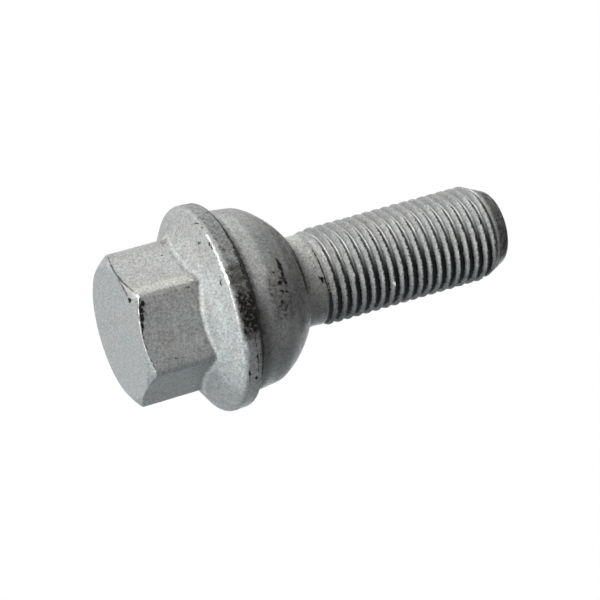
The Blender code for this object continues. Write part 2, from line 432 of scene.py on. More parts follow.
# Each mark: its two ends, its half width in millimetres and its strength
SOIL_MARKS = [
    (on_end_face(-34.2, 9.1), on_end_face(-31.8, 9.36), 0.24, 2.4),
    (on_hexagon(-24.2, 0.9), on_hexagon(-23.6, 1.9), 0.32, 0.55),
    (on_hexagon(-20.6, 0.6), on_hexagon(-18.4, 1.3), 0.26, 0.55),
    (on_hexagon(-16.0, 0.5), on_hexagon(-13.0, 0.5), 0.2, 0.5),
    (on_hexagon(-10.6, 0.5), on_hexagon(-6.0, 0.5), 0.2, 0.8),
    (on_hexagon(-26.5, 4.2), on_hexagon(-26.0, 4.9), 0.22, 0.7),
    (on_hexagon(-27.0, 5.6), on_hexagon(-26.8, 6.4), 0.16, 0.7),
    (on_hexagon(-27.2, 7.4), on_hexagon(-27.0, 8.0), 0.16, 0.8),
    (on_hexagon(-36.0, 4.4), on_hexagon(-35.0, 5.0), 0.2, 0.6),
    (on_hexagon(-70.5, 7.3), on_hexagon(-70.3, 7.4), 0.13, 1.2),
    (on_hexagon(5.9, 7.4), on_hexagon(6.1, 7.5), 0.13, 0.9),
    (on_hexagon(22.7, 3.8), on_hexagon(22.6, 4.1), 0.15, 1.0),
    (on_hexagon(10.5, 1.6), on_hexagon(12.5, 1.8), 0.12, 0.65),
    (on_hexagon(-3.0, 3.2), on_hexagon(5.0, 3.6), 0.1, 0.5),
    (on_hexagon(42.0, 8.6), on_hexagon(42.6, 8.8), 0.15, 1.0),
    (on_hexagon(50.0, 9.0), on_hexagon(50.6, 9.1), 0.13, 0.9),
    (on_cone(-75.0, 12.0), on_cone(-73.8, 12.08), 0.18, 0.62),
    (on_cone(-61.6, 11.86), on_cone(-60.2, 11.94), 0.17, 0.56),
    (on_cone(-56.0, 12.0), on_cone(-54.5, 12.06), 0.16, 0.6),
    (on_cone(-50.4, 11.0), on_cone(-49.0, 11.3), 0.22, 0.52),
    (on_cone(-44.2, 11.8), on_cone(-42.6, 11.9), 0.16, 0.85),
    (on_cone(-42.0, 11.85), on_cone(-28.0, 11.9), 0.14, 0.55),
    (on_cone(-23.0, 11.4), on_cone(-20.0, 11.3), 0.22, 0.7),
    (on_cone(-20.3, 11.3), on_cone(-7.0, 10.9), 0.14, 0.6),
    (on_cone(-4.6, 11.25), on_cone(-3.0, 11.35), 0.18, 0.7),
    (on_rim(39.0, 13.6), on_rim(40.2, 13.7), 0.2, 0.7),
    (on_rim(33.5, 12.5), on_rim(36.5, 12.6), 0.16, 0.5),
    (on_rim(24.0, 14.2), on_rim(30.0, 14.3), 0.14, 0.5),
    (on_ball(-31.1, 21.1), on_ball(-28.9, 21.4), 0.24, 0.52),
    (on_ball(-26.6, 20.3), on_ball(-23.7, 20.5), 0.34, 0.52),
    (on_ball(-23.0, 20.5), on_ball(-19.5, 20.5), 0.32, 0.6),
    (on_ball(-18.2, 20.5), on_ball(-13.2, 20.4), 0.26, 0.58),
    (on_ball(-12.8, 19.9), on_ball(-10.6, 19.5), 0.22, 0.62),
    (on_ball(-18.3, 19.2), on_ball(-17.6, 19.2), 0.15, 0.6),
    (on_ball(-14.4, 18.2), on_ball(-13.4, 18.2), 0.18, 0.4),
    (on_ball(-9.1, 17.7), on_ball(-8.4, 17.8), 0.2, 0.75),
    (on_ball(-6.0, 17.8), on_ball(-4.8, 17.9), 0.22, 0.62),
    (on_ball(-5.6, 19.4), on_ball(-4.8, 20.4), 0.2, 0.45),
    (on_ball(-10.4, 20.5), on_ball(-9.6, 20.6), 0.28, 0.36),
    (on_ball(-0.8, 17.3), on_ball(5.2, 16.9), 0.32, 0.36),
    (on_ball(-40.5, 18.6), on_ball(-38.5, 19.4), 0.2, 0.42),
    (on_ball(-35.5, 18.2), on_ball(-34.5, 18.6), 0.22, 0.46),
    (on_ball(0.3, 19.1), on_ball(5.1, 19.4), 0.32, 0.32),
    (on_ball(-31.9, 18.6), on_ball(-30.4, 18.8), 0.17, 0.5),
    (on_thread(-4.6, 27.95), on_thread(-1.2, 27.97), 0.19, 1.15),
]
# Worn bare metal, partly painted highlight: glints on the hexagon's edges, the cone's ridge and the
# thread's crests, and the lit flank where the thread starts
WEAR_AND_HIGHLIGHT_MARKS = [
    (on_hexagon(-31.0, 0.62), on_hexagon(-29.5, 0.85), 0.22, 1.3),
    (on_hexagon(-30.5, 6.6), on_hexagon(-31.0, 7.6), 0.2, 0.75),
    (on_hexagon(-31.5, 8.3), on_hexagon(-31.5, 8.6), 0.18, 1.0),
    (on_cone(-21.5, 11.95), on_cone(-18.0, 12.0), 0.2, 0.8),
    (on_thread(-37.0, 29.22), on_thread(-32.0, 29.28), 0.14, 0.66),
    (on_thread(-29.0, 29.3), on_thread(-24.0, 29.35), 0.14, 0.66),
    (on_cone(-66.0, 12.0), on_cone(-60.0, 12.05), 0.3, 0.5),
    (on_thread(0.5, 32.75), on_thread(2.0, 32.85), 0.3, 1.3),
    (on_thread(25.0, 38.6), on_thread(28.0, 38.8), 0.25, 1.1),
    (on_thread(-36.0, 31.1), on_thread(-33.0, 31.15), 0.2, 0.9),
    (on_thread(-48.0, 45.1), on_thread(-45.0, 45.1), 0.2, 0.9),
]

GRIME_MARKS = [
    (on_end_face(-55.0, 9.3), on_end_face(-46.0, 9.3), 0.14, 0.7),
    (on_end_face(-46.0, 9.3), on_end_face(-37.0, 9.3), 0.14, 0.8),
]

# Each zone: lowest and highest angle, lowest and highest height, least radius, how far it
# fades in degrees and in millimetres, and its strength
SOIL_ZONES = [
    ((-28.0, 14.0), (12.3, 14.6), 13.8, 7.0, 0.3, 0.46),
    ((-10.0, 9.0), (12.5, 14.5), 13.8, 6.0, 0.4, 0.8),
    ((-100.0, 60.0), (12.8, 14.8), 13.8, 30.0, 0.4, 0.36),
    ((-20.0, 10.0), (18.2, 20.7), 8.0, 10.0, 0.6, 0.44),
    ((-62.0, -26.0), (10.6, 12.0), 12.0, 10.0, 0.5, 0.22),
    ((-66.0, -30.0), (12.6, 14.5), 13.8, 15.0, 0.4, 0.44),
    ((-50.0, 10.0), (25.7, 28.0), 6.3, 20.0, 0.6, 0.3),
    ((-50.0, 10.0), (30.0, 55.0), 6.3, 25.0, 1.0, 0.3),
]
# Grime, and painted shade: the rim's shadow on the collar behind it, the darkening round the ball's
# end and the neck, the ball's lower side and the hexagon's lower face; and darker toward the
# thread's lower side
GRIME_AND_SHADE_ZONES = [
    ((-24.0, 11.0), (12.2, 14.8), 13.8, 8.0, 0.35, 0.8),
    ((-100.0, 14.0), (12.5, 14.9), 13.8, 12.0, 0.3, 0.42),
    ((-70.0, 34.0), (14.7, 15.2), 12.7, 30.0, 0.5, 1.15),
    ((-44.0, 6.0), (18.8, 20.9), 8.0, 10.0, 0.8, 0.32),
    ((-14.0, 9.0), (18.0, 24.8), 6.6, 10.0, 1.0, 0.48),
    ((-60.0, 20.0), (22.2, 25.2), 6.6, 25.0, 1.5, 0.5),
    ((36.0, 100.0), (18.5, 25.2), 6.6, 16.0, 1.5, 0.3),
    ((-36.0, -6.0), (24.65, 25.4), 6.0, 26.0, 0.35, 1.0),
    ((-42.0, 4.0), (25.2, 25.6), 6.3, 14.0, 1.0, 0.36),
    ((-66.0, 12.0), (15.2, 15.6), 12.0, 20.0, 0.9, 0.56),
    ((-31.0, -12.0), (19.6, 20.8), 8.0, 5.0, 0.4, 0.42),
    ((50.0, 100.0), (29.0, 56.0), 6.0, 16.0, 0.6, 0.45),
    ((-60.0, 30.0), (56.3, 58.0), 5.3, 30.0, 0.6, 0.7),
    ((33.0, 90.0), (0.4, 9.5), 8.8, 5.0, 0.8, 0.24),
    ((-130.0, -50.0), (17.0, 25.0), 7.0, 24.0, 1.0, 0.27),
    ((0.0, 70.0), (14.8, 16.0), 12.0, 12.0, 1.6, 0.4),
    ((-44.0, -35.0), (18.9, 20.2), 8.0, 4.0, 0.6, 0.4),
    ((-120.0, -64.0), (10.0, 12.3), 11.0, 16.0, 1.0, 0.13),
    ((30.0, 100.0), (9.5, 12.2), 10.5, 12.0, 1.0, 0.13),
    ((-27.0, -16.0), (0.4, 1.3), 9.0, 5.0, 0.6, 0.4),
    ((-130.0, -76.0), (29.0, 56.0), 6.0, 20.0, 0.6, 0.16),
]
STAIN_ZONES = [
    ((-38.0, -29.0), (0.6, 9.0), 9.0, 4.0, 1.0, 0.34),
    ((-44.0, 6.0), (10.9, 12.2), 12.4, 10.0, 0.5, 0.4),
    ((-26.0, -3.0), (18.6, 20.6), 8.0, 6.0, 0.6, 0.5),
    ((-21.0, 4.0), (12.9, 14.8), 13.8, 8.0, 0.35, 0.6),
]
# Mostly painted light, as paler coating: the lit top face and its rounded corner, the collar behind
# the flange, the cone's lower part, the neck, a stretch of the rim and the lit band of the thread's
# crests
PALE_PAINTED_LIGHT_ZONES = [
    ((-44.0, 10.0), (29.2, 56.0), 6.3, 22.0, 0.5, 0.8),
    ((-20.0, 40.0), (10.0, 12.1), 11.0, 16.0, 1.2, 0.5),
    ((-120.0, 20.0), (25.8, 28.0), 6.3, 20.0, 0.5, 0.36),
    ((-62.0, -18.0), (15.9, 17.7), 11.0, 18.0, 0.9, 1.0),
    ((-80.0, -36.0), (0.5, 10.0), 9.0, 6.0, 1.0, 0.36),
    ((30.0, 70.0), (12.2, 14.6), 14.0, 10.0, 0.3, 0.3),
    ((-37.0, -31.6), (0.8, 8.6), 9.0, 2.0, 0.6, 1.1),
    ((-120.0, -26.0), (26.7, 27.6), 6.3, 16.0, 0.7, 1.0),
]

# A painted highlight round the hexagon's foot and a line of painted shade beside it: how far
# each lies outside the flats, its half width and its strength, and the height where the shaded
# one starts
HEX_FOOT_HIGHLIGHT = (0.42, 0.24, 1.15)
HEX_FOOT_SHADE = (0.02, 0.1, 0.38)
HEX_FOOT_SHADE_START = 8.4
HEX_FOOT_SHADE_FADE = 0.3

# Each line round the axis: its stations as (angle, height), the least radius where it shows,
# its half width and its strength
# Painted shadow that the rim casts on the collar behind it, and painted shade along the ball's end
RIM_BACK_SHADOW = [
    (-60.0, 14.62), (-40.0, 14.48), (-25.0, 14.34), (-13.0, 14.27),
    (-4.0, 14.05), (7.0, 13.66), (25.0, 13.8), (36.0, 13.95),
]
BALL_END_SHADE = [(-34.0, 24.2), (-25.0, 24.4), (-10.0, 24.6), (0.0, 24.65)]
STRIP_MIDDLE = [(-42.0, 27.95), (-19.0, 27.94), (-5.0, 28.05)]
# Edges of the raised strip where the thread starts; the dark line on its tip side is partly painted
# shade
STRIP_HEAD_SIDE = [(-35.0, 27.58), (-24.0, 27.53), (-12.0, 27.52), (-4.0, 27.66)]
STRIP_TIP_SIDE = [(-42.0, 28.25), (-19.0, 28.35), (3.0, 28.52), (15.0, 28.61)]
FIRST_GROOVE = [(-60.0, 28.76), (-36.0, 28.68), (-20.0, 28.62), (-6.0, 28.72)]
# Dirt, and the painted shadow and shade lines above
SOIL_AND_SHADE_LINES = [
    (RIM_BACK_SHADOW, 13.8, 0.14, 0.76),
    (BALL_END_SHADE, 6.0, 0.34, 0.9),
    (STRIP_HEAD_SIDE, 6.0, 0.1, 0.7),
    (STRIP_TIP_SIDE, 6.0, 0.12, 1.1),
    ([(-46.0, 11.66), (-24.0, 11.66)], 13.4, 0.09, 0.5),
    ([(14.0, 12.6), (50.0, 12.5)], 14.4, 0.13, 0.5),
]
# Along the rim's front edge: worn metal and a painted highlight
WEAR_AND_HIGHLIGHT_LINES = [
    ([(-50.0, 12.0), (-36.0, 11.95)], 13.8, 0.2, 0.72),
    ([(-39.0, 11.93), (-26.0, 11.9)], 13.8, 0.24, 0.72),
    ([(-26.0, 11.95), (-22.0, 11.95)], 13.8, 0.16, 0.74),
    ([(-20.0, 11.9), (-13.0, 11.88)], 13.8, 0.1, 0.7),
    ([(-12.0, 11.86), (4.0, 11.84)], 13.8, 0.09, 0.63),
    ([(4.0, 11.84), (34.0, 11.84)], 13.8, 0.08, 0.58),
]
# The strip where the thread starts is truly paler; the lit flank of the first groove beside it is
# painted light
PALE_AND_LIT_LINES = [
    (STRIP_MIDDLE, 6.0, 0.26, 1.2),
    (FIRST_GROOVE, 6.0, 0.22, 1.6),
]
STAIN_LINES = [
    (STRIP_MIDDLE, 6.0, 0.24, 0.5),
]
LINE_FADE = 3.0

# Each line along the edge between the end chamfer and the flats: lowest and highest angle,
# its distance from the edge in millimetres toward the flange, its half width and its strength
SOIL_EDGES = [
    ((-28.0, -6.0), 0.2, 0.16, 0.85),
    ((-6.0, 10.0), 0.16, 0.12, 0.75),
    ((10.0, 26.0), 0.12, 0.1, 0.62),
    ((-26.0, -12.0), 0.45, 0.38, 0.62),
    ((-33.0, -24.0), -0.28, 0.1, 0.6),
]
GRIME_EDGES = [
    ((-85.0, -37.0), 0.05, 0.17, 0.85),
]
# Along the end chamfer's edge: worn metal and painted highlights
WEAR_AND_HIGHLIGHT_EDGES = [
    ((-30.0, -18.0), -0.05, 0.12, 0.66),
    ((-18.0, 28.0), -0.09, 0.1, 0.6),
    ((-62.0, -34.0), -0.2, 0.09, 0.5),
]


def smooth(share):
    """Smooth rise from 0 to 1, for a whole array."""
    share = numpy.clip(share, 0.0, 1.0)
    return share * share * (3 - 2 * share)


def rise(values, start, end):
    """Smooth rise from 0 at one value to 1 at another."""
    return smooth((values - start) / (end - start))


def window(values, lowest, highest, fade):
    """1 between two values, and a smooth fall to 0 outside them."""
    return smooth((values - lowest) / fade + 1) * smooth((highest - values) / fade + 1)


# How far the noise moves from one use to the next, in lumps
NOISE_SHIFT = (17.3, -9.1, 5.7)


class Skin:
    """The skin's vertices as arrays, with what the marks need to know of them."""

    def __init__(self, places):
        self.places = places
        self.angles = numpy.degrees(numpy.arctan2(places[:, 1], places[:, 0]))
        self.radii = numpy.hypot(places[:, 0], places[:, 1])
        self.heights = places[:, 2]
        sides = numpy.array([hexagon_radius(radians(angle)) for angle in self.angles])
        self.past_side = self.radii - sides
        above_edge = self.heights - (sides - END_FACE_RADIUS) * tan(END_CHAMFER_ANGLE)
        self.past_edge = numpy.copysign(numpy.hypot(sides - self.radii, above_edge), above_edge)

    def mark(self, start, end, reach, strength):
        """Strength of one mark, which falls off away from the line between its ends."""
        along = end - start
        share = numpy.clip((self.places - start) @ along / (along @ along), 0.0, 1.0)
        nearest = start + share[:, None] * along
        distance = numpy.linalg.norm(self.places - nearest, axis=1)
        return strength * numpy.exp(-(distance / reach) ** 2)

    def zone(self, angles, heights, least_radius, angle_fade, height_fade, strength):
        """Strength of one zone."""
        inside = window(self.angles, angles[0], angles[1], angle_fade)
        inside = inside * window(self.heights, heights[0], heights[1], height_fade)
        return strength * inside * (self.radii > least_radius)

    def line(self, stations, least_radius, reach, strength):
        """Strength of one line round the axis."""
        angles, heights = zip(*stations)
        inside = window(self.angles, angles[0], angles[-1], LINE_FADE) * (self.radii > least_radius)
        away = self.heights - numpy.interp(self.angles, angles, heights)
        return strength * inside * numpy.exp(-(away / reach) ** 2)

    def edge_line(self, angles, offset, reach, strength):
        """Strength of one line along the edge of the end chamfer."""
        inside = window(self.angles, angles[0], angles[1], LINE_FADE)
        return strength * inside * numpy.exp(-((self.past_edge - offset) / reach) ** 2)

    def foot_line(self, offset, reach, strength):
        """Strength of one line round the hexagon's foot."""
        return strength * numpy.exp(-((self.past_side - offset) / reach) ** 2)

    def sum_of(self, zones, marks=(), lines=(), edge_lines=()):
        """The strongest of the zones and lines, with the marks on top."""
        parts = [self.zone(*one) for one in zones]
        parts += [self.line(*one) for one in lines]
        parts += [self.edge_line(*one) for one in edge_lines]
        total = numpy.max(parts, axis=0)
        for one in marks:
            total += self.mark(*one)
        return total

    def noise(self, size, seed):
        """Smooth noise from about -1 to 1, with lumps of a size in millimetres."""
        shift = Vector([seed * part for part in NOISE_SHIFT])
        return numpy.array([noise.noise(Vector(place) / size + shift) for place in self.places])


# Shallow unevenness of the forging, as (lump size, height) in millimetres, and the share of it
# that the rolled shank keeps
FORGING_LUMPS = [(4.5, 0.022), (1.6, 0.010)]
SHANK_SHARE = 0.3
HEAD_FADE = 1.0

# Unevenness of the rim, and nicks in its front ridge and in the thread's crests. A nick starts
# and is full at the two noise values of NICK_NOISE.
RIM_LUMPS = (0.9, 0.03)
RIM_SEED = 7
RIM_SIDE = (12.5, 14.6)
RIM_RADII = (13.6, 14.2)
RIDGE_HEIGHTS = (11.8, 12.4)
RIDGE_RADII = (13.8, 14.2)
RIM_FADE = 0.4
RIDGE_FADE = 0.3
NICK_NOISE = (0.25, 0.55)
NICK_DEPTH = 0.12
CREST_NICK_DEPTH = 0.08
CREST_NICK_START = THREAD_START + 1.0
CREST_NICK_RADIUS = 6.7
CREST_NICK_FADE = 0.5

# Pits under the dirt and under the painted shadow and shade lines, the shallow ring on the end
# face, and the raised strip where the thread starts
PIT_DEPTH = 0.05
PIT_SOIL_AND_SHADE = (0.6, 1.2)
FACE_RING_RISE = 0.03
FACE_RING_SLOPE = 0.2
END_FACE_DEPTH = 0.01
STRIP_RISE = 0.11
STRIP_SLOPE = 0.1
STRIP_ANGLES = (-44.0, -4.0)
STRIP_FADE = 6.0


def relief(skin, soil_and_shade):
    """How far each vertex stands out, in millimetres."""
    out = numpy.zeros(len(skin.places))
    for seed, (size, height) in enumerate(FORGING_LUMPS):
        out += height * skin.noise(size, seed)
    on_head = window(skin.heights, 0.0, NECK_START, HEAD_FADE)
    out *= SHANK_SHARE + (1 - SHANK_SHARE) * on_head
    lump_size, lump_height = RIM_LUMPS
    lumps = skin.noise(lump_size, RIM_SEED)
    nicks = rise(lumps, *NICK_NOISE)
    rim = window(skin.heights, *RIM_SIDE, RIM_FADE) * rise(skin.radii, *RIM_RADII)
    out += rim * lump_height * lumps
    ridge = window(skin.heights, *RIDGE_HEIGHTS, RIDGE_FADE) * rise(skin.radii, *RIDGE_RADII)
    out -= ridge * NICK_DEPTH * nicks
    crests = window(skin.heights, CREST_NICK_START, THREAD_END, CREST_NICK_FADE)
    crests *= skin.radii > CREST_NICK_RADIUS
    out -= crests * CREST_NICK_DEPTH * nicks
    out -= PIT_DEPTH * rise(soil_and_shade, *PIT_SOIL_AND_SHADE) * on_head
    on_end = skin.heights < END_FACE_DEPTH
    in_ring = smooth((FACE_RING_RADIUS - skin.radii) / FACE_RING_SLOPE + 0.5)
    out -= FACE_RING_RISE * on_end * in_ring
    head_side = numpy.interp(skin.angles, *zip(*STRIP_HEAD_SIDE))
    tip_side = numpy.interp(skin.angles, *zip(*STRIP_TIP_SIDE))
    strip = smooth((skin.heights - head_side) / STRIP_SLOPE)
    strip *= smooth((tip_side - skin.heights) / STRIP_SLOPE)
    out += STRIP_RISE * strip * window(skin.angles, *STRIP_ANGLES, STRIP_FADE)
    return out


# Sides of the thread, as lowest and highest angle, and how far each fades in degrees: the one
# that keeps its coating, the one below, whose grooves get more painted shade, and the one whose
# grooves are light, where the painted shade is all but gone
CLEAN_SIDE = (-130.0, -72.0, 40.0)
LOWER_SIDE = (42.0, 170.0, 40.0)
LIGHT_SIDE = (-125.0, -36.0, 52.0)

# What is unlike on those sides: shares of bareness and of gloom, the painted shade
LOWER_GROOVES_MORE = 0.7
CLEAN_CRESTS_LESS = 0.7
LOWER_CRESTS_LESS = 0.2
LOWER_SHARPNESS = 0.7
LIGHT_SIDE_LESS = 0.95

# The first turns keep a little more coating
FIRST_TURNS_LESS = 0.14
FIRST_TURNS_END = 32.0
FIRST_TURNS_FADE = 3.0

# The side that the photograph doesn't show is less worn and has less painted shade in its
# grooves. SEEN_MIDDLE is the angle in the middle of the side that it shows. By the cosine of the
# angle from the opposite one, both start to fade and are least at the two values of HIDDEN_RANGE.
SEEN_MIDDLE = -9.0
HIDDEN_RANGE = (0.1, 0.7)
HIDDEN_LESS = 0.5


def thread_wear_and_shade(skin, loft):
    """How bare each vertex is of coating, and how much painted shade darkens what is bare."""
    crest_gloom = numpy.array(loft.crest_gloom)
    clean_side = window(skin.angles, *CLEAN_SIDE)
    lower_side = window(skin.angles, *LOWER_SIDE)
    grooves = lower_side * (1 - crest_gloom)
    crests = CLEAN_CRESTS_LESS * clean_side + LOWER_CRESTS_LESS * lower_side
    first_turns = window(skin.heights, THREAD_START, FIRST_TURNS_END, FIRST_TURNS_FADE)
    bareness = numpy.array(loft.bareness) ** (1 - LOWER_GROOVES_MORE * grooves)
    bareness *= 1 - crest_gloom * crests
    bareness -= FIRST_TURNS_LESS * first_turns * (1 - lower_side)
    contrast = 1 + LOWER_SHARPNESS * lower_side
    bareness = numpy.clip(0.5 + (bareness - 0.5) * contrast, 0.0, 1.0)
    away = -numpy.cos(numpy.radians(skin.angles - SEEN_MIDDLE))
    visible = 1 - HIDDEN_LESS * rise(away, *HIDDEN_RANGE)
    shaded_side = 1 - LIGHT_SIDE_LESS * window(skin.angles, *LIGHT_SIDE)
    return bareness * visible, numpy.maximum(crest_gloom, shaded_side) * visible


def set_attribute(mesh, name, values):
    """Stores one number for each vertex."""
    attribute = mesh.attributes.new(name, "FLOAT", "POINT")
    attribute.data.foreach_set("value", numpy.asarray(values, dtype=numpy.float32))


def dressed_mesh():
    """The skin with its relief and the attributes that its coating reads, in metres."""
    loft, faces = bolt_loft()
    mesh = bpy.data.meshes.new("bolt_skin")
    mesh.from_pydata(loft.places, [], faces)
    skin = Skin(numpy.array(loft.places))
    soil_and_shade = skin.sum_of(SOIL_ZONES, SOIL_MARKS, SOIL_AND_SHADE_LINES, SOIL_EDGES)
    # Painted shade in a thin line round the hexagon's foot; the pale line just outside it is a
    # painted highlight
    foot_shade = skin.foot_line(*HEX_FOOT_SHADE)
    foot_shade *= window(skin.heights, HEX_FOOT_SHADE_START, FLANGE_HEIGHT, HEX_FOOT_SHADE_FADE)
    grime_and_shade = numpy.maximum(skin.sum_of(GRIME_AND_SHADE_ZONES, GRIME_MARKS, (), GRIME_EDGES), foot_shade)
    foot_highlight = skin.foot_line(*HEX_FOOT_HIGHLIGHT) * (skin.heights < FLANGE_HEIGHT)
    # The pale value: mostly painted light, and the truly paler strip where the thread starts
    pale = numpy.maximum(skin.sum_of(PALE_PAINTED_LIGHT_ZONES, (), PALE_AND_LIT_LINES), foot_highlight)
    bareness, gloom = thread_wear_and_shade(skin, loft)
    set_attribute(mesh, "soil_and_shade", soil_and_shade)
    set_attribute(mesh, "grime_and_shade", grime_and_shade)
    set_attribute(mesh, "wear_and_highlight", skin.sum_of((), WEAR_AND_HIGHLIGHT_MARKS, WEAR_AND_HIGHLIGHT_LINES, WEAR_AND_HIGHLIGHT_EDGES))
    set_attribute(mesh, "stain", skin.sum_of(STAIN_ZONES, (), STAIN_LINES))
    set_attribute(mesh, "pale", pale * (1 - bareness))
    set_attribute(mesh, "bare", bareness)
    set_attribute(mesh, "gloom", gloom)
    normals = numpy.zeros(len(loft.places) * 3)
    mesh.vertices.foreach_get("normal", normals)
    moved = skin.places + normals.reshape(-1, 3) * relief(skin, soil_and_shade)[:, None]
    moved[:, 2] = numpy.clip(moved[:, 2], 0.0, TIP)
    mesh.vertices.foreach_set("co", (moved * METRES).ravel())
    mesh.update()
    return mesh


def make_bolt(material):
    """The dressed bolt, which stands for the solid."""
    mesh = dressed_mesh()
    mesh.materials.append(material)
    mesh.shade_smooth()
    bolt = bpy.data.objects.new("forged_bolt", mesh)
    bpy.context.scene.collection.objects.link(bolt)
    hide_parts(NODE)
    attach(bolt, "root")


class Coating:
    """Short ways to add and join a material's nodes. Sizes are in millimetres."""

    def __init__(self, name):
        self.material = bpy.data.materials.new(name)
        self.material.use_nodes = True
        self.nodes = self.material.node_tree.nodes
        self.links = self.material.node_tree.links
        self.shader = self.nodes["Principled BSDF"]
        self.place = self.nodes.new("ShaderNodeTexCoord").outputs["Object"]

    def feed(self, socket, value):
        """Joins an output to an input, or sets the input to a number or a colour."""
        if isinstance(value, bpy.types.NodeSocket):
            self.links.new(value, socket)
        else:
            socket.default_value = value

    def attribute(self, name):
        """A number stored on the mesh."""
        node = self.nodes.new("ShaderNodeAttribute")
        node.attribute_name = name
        return node.outputs["Fac"]

    def noise(self, size, detail, roughness):
        """Noise around 0.5 with lumps of a size."""
        node = self.nodes.new("ShaderNodeTexNoise")
        self.feed(node.inputs["Vector"], self.place)
        node.inputs["Scale"].default_value = 1 / (size * METRES)
        node.inputs["Detail"].default_value = detail
        node.inputs["Roughness"].default_value = roughness
        return node.outputs["Fac"]

    def calc(self, operation, first, second):
        """Arithmetic on two values."""
        node = self.nodes.new("ShaderNodeMath")
        node.operation = operation
        self.feed(node.inputs[0], first)
        self.feed(node.inputs[1], second)
        return node.outputs[0]

    def remap(self, value, low, high, to_low=0.0, to_high=1.0):
        """A smooth step between two values."""
        node = self.nodes.new("ShaderNodeMapRange")
        node.interpolation_type = "SMOOTHSTEP"
        self.feed(node.inputs["Value"], value)
        self.feed(node.inputs["From Min"], low)
        self.feed(node.inputs["From Max"], high)
        self.feed(node.inputs["To Min"], to_low)
        self.feed(node.inputs["To Max"], to_high)
        return node.outputs["Result"]

    def ragged(self, amount, grain, swing, low, high):
        """Where an amount, made uneven by a grain, passes a limit."""
        uneven = self.calc("MULTIPLY_ADD", self.calc("SUBTRACT", grain, 0.5), swing)
        uneven.node.inputs[2].default_value = 0.0
        return self.remap(self.calc("ADD", amount, uneven), low, high)

    def speckled(self, amount, grain, swing, low, high):
        """Where an amount times an uneven grain passes a limit, so that nothing gives nothing."""
        uneven = self.calc("MULTIPLY_ADD", self.calc("SUBTRACT", grain, 0.5), swing)
        uneven.node.inputs[2].default_value = 1.0
        return self.remap(self.calc("MULTIPLY", amount, uneven), low, high)

    def mix(self, share, first, second):
        """A colour between two others."""
        node = self.nodes.new("ShaderNodeMix")
        node.data_type = "RGBA"
        self.feed(node.inputs[0], share)
        self.feed(node.inputs[6], first)
        self.feed(node.inputs[7], second)
        return node.outputs[2]

    def multiply(self, first, second):
        """One colour times another."""
        mixed = self.mix(1.0, first, second)
        mixed.node.blend_type = "MULTIPLY"
        return mixed

    def mix_number(self, share, first, second):
        """A number between two others."""
        node = self.nodes.new("ShaderNodeMix")
        self.feed(node.inputs[0], share)
        self.feed(node.inputs[2], first)
        self.feed(node.inputs[3], second)
        return node.outputs[0]

    def bump(self, height, depth, below=None):
        """Fine relief of a depth in millimetres."""
        node = self.nodes.new("ShaderNodeBump")
        self.feed(node.inputs["Height"], height)
        node.inputs["Distance"].default_value = depth * METRES
        if below is not None:
            self.feed(node.inputs["Normal"], below)
        return node.outputs["Normal"]


# Colours of the coating and of what lies on it
# Next: how much paler the pale value makes the coating, mostly as painted light
PALE_AND_LIT_GAIN = (1.45, 1.45, 1.42, 1.0)
COOL_TINT = (0.975, 1.0, 1.01, 1.0)
WARM_TINT = (1.01, 1.0, 0.985, 1.0)
DEEP_GREY = (0.26, 0.262, 0.26, 1.0)
PALE_GREY = (0.555, 0.56, 0.555, 1.0)
# Next: the dark brown of grime, and of painted shade in creases and on lower sides
GRIME_AND_SHADE_BROWN = (0.06, 0.058, 0.053, 1.0)
# Next: the black of dirt specks, and of painted shadow and shade lines at the rim's back and the
# ball's end
SOIL_AND_SHADE_BLACK = (0.012, 0.011, 0.01, 1.0)
STAIN_BROWN = (0.37, 0.345, 0.29, 1.0)
# Next: bright worn metal, also used as a painted highlight
WORN_METAL_AND_HIGHLIGHT = (0.82, 0.81, 0.79, 1.0)
ROLLED_STEEL = (0.42, 0.42, 0.41, 1.0)
# Next: the near black of painted shade in the thread's grooves
SHADED_STEEL = (0.01, 0.01, 0.01, 1.0)

# Noises of the coating: size of the lumps in millimetres, detail and roughness
GRAIN = (0.3, 2.0, 0.7)
PATCHES = (1.1, 4.0, 0.65)
CLOUDS = (5.0, 3.0, 0.55)
SMEARS = (0.7, 4.0, 0.7)
EDGE_GRAIN = (0.28, 3.0, 0.65)
SPECKS = (0.5, 4.0, 0.7)

# Where noises give one tone and where the other
GRAIN_SHARE = 0.74
TONE_RANGE = (0.28, 0.72)
TINT_RANGE = (0.35, 0.65)
NOISE_RANGE = (0.3, 0.7)
PALE_UNEVENNESS = (0.8, 1.2)

# How uneven a noise makes an amount, and the amounts where it starts to show and is full
STAIN_SPECKLES = (2.0, 0.2, 0.9)
GRIME_AND_SHADE_SPECKLES = (2.4, 0.05, 1.05)
BARE_EDGE = (1.5, 0.4, 0.6)
SOIL_AND_SHADE_SPECKLES = (3.4, 0.4, 0.86)
WEAR_AND_HIGHLIGHT_SPECKLES = (2.4, 0.4, 0.8)
STAIN_COVER = 0.75
GRIME_AND_SHADE_COVER = 0.9

# Gloss of the coating, of rolled steel in the grooves, of dirt and of worn metal
COATING_METALNESS = 0.1
STEEL_METALNESS = 0.8
COATING_ROUGHNESS = (0.6, 0.48)
ROLLED_ROUGHNESS = 0.3
DIRT_ROUGHNESS = 0.95
WORN_ROUGHNESS = 0.36
SPECULAR_LEVEL = 0.2
EDGE_GRAIN_DEPTH = 0.03
TONE_DEPTH = 0.12


